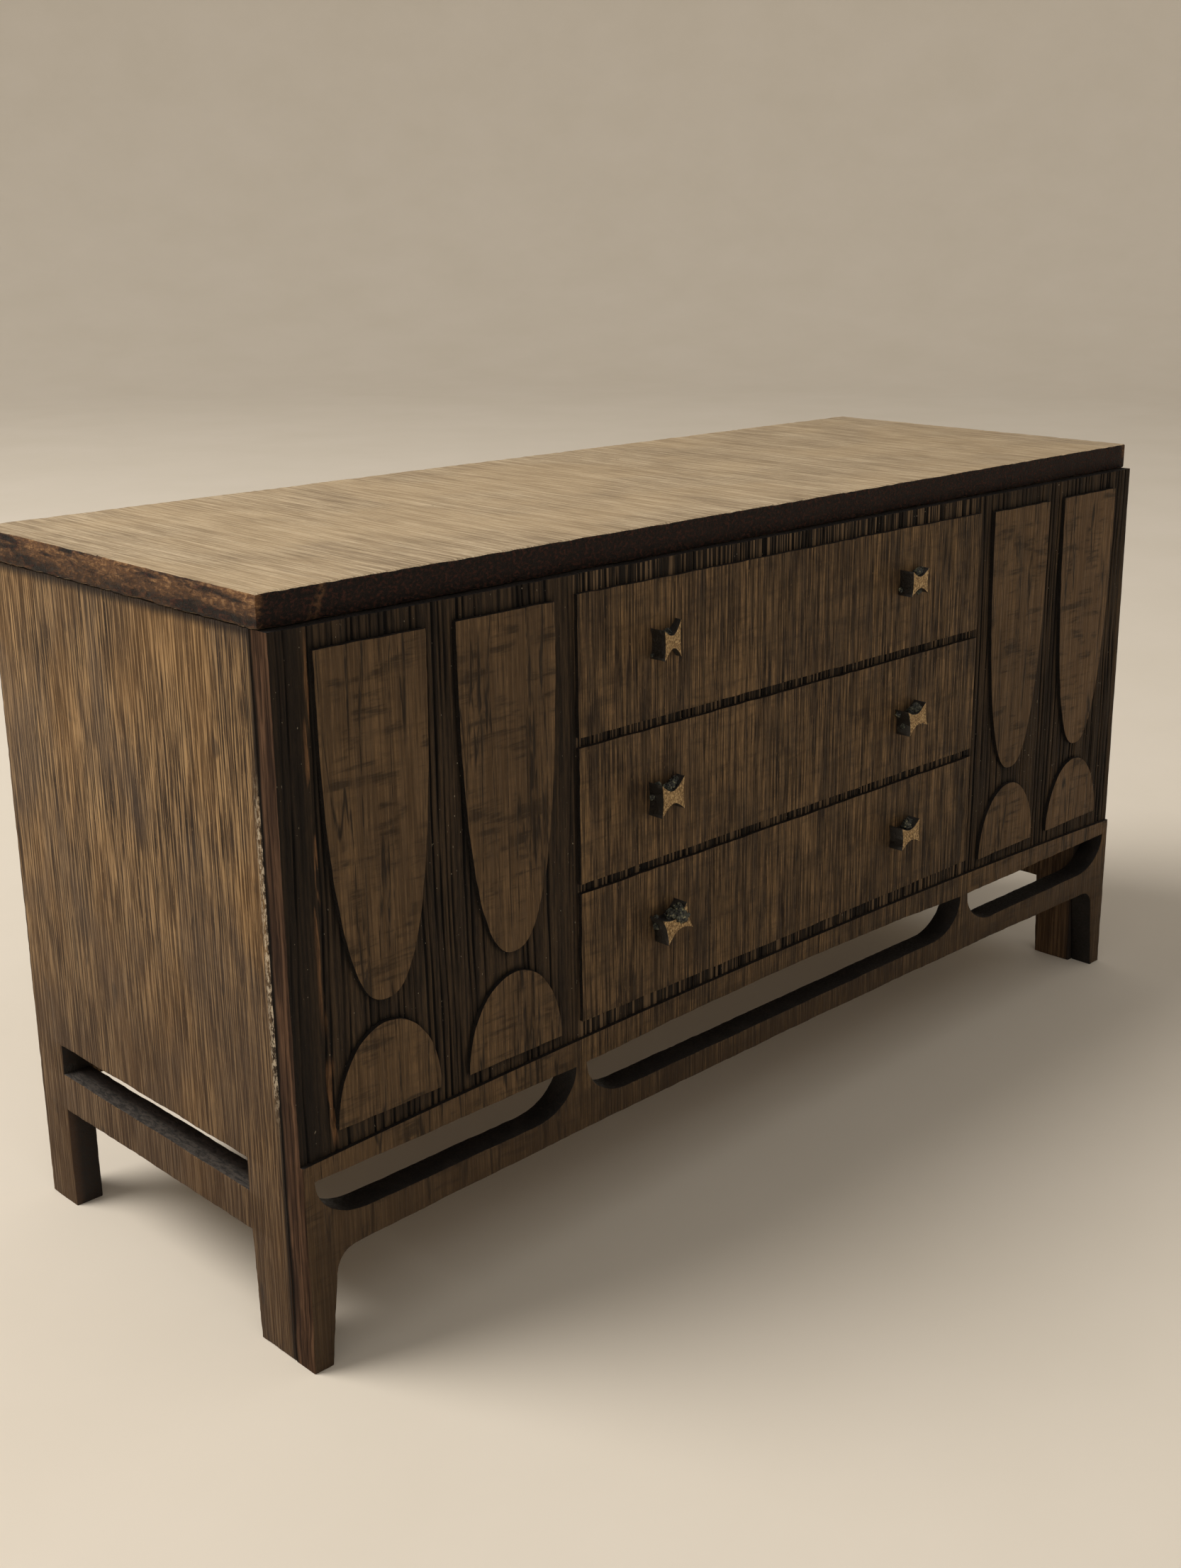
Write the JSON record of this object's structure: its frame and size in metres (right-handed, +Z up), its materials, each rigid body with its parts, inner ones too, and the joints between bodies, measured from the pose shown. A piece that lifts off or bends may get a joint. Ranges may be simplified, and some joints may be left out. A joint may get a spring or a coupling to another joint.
{
  "type": "miniature chest of drawers",
  "caption": "Dolls' house sideboard of laser-cut wooden sheet: engraved drawer and cupboard fronts, bow-tie pulls, slotted base on straight legs.",
  "frame": {"origin": "on the floor under the middle of the bounding box", "axes": "+X along the length, to the right seen from the front; +Y towards the back; +Z up"},
  "size_m": [0.1404, 0.0532, 0.0756],
  "materials": {
    "engraved_walnut": "matt, engraved ground darker",
    "walnut_panel": "matt, charred cut edges",
    "walnut_top": "satin, charred cut edges",
    "bare_wood": "matt, charred cut edges"
  },
  "bodies": {
    "root": {"front_panel": "engraved_walnut", "left_end_panel": "walnut_panel", "right_end_panel": "walnut_panel", "back_panel": "walnut_panel", "bottom_board": "walnut_panel", "top_board": "walnut_top", "pull_upper_left": "bare_wood", "pull_middle_left": "bare_wood", "pull_lower_left": "bare_wood", "pull_upper_right": "bare_wood", "pull_middle_right": "bare_wood", "pull_lower_right": "bare_wood"}
  },
  "joints": []
}
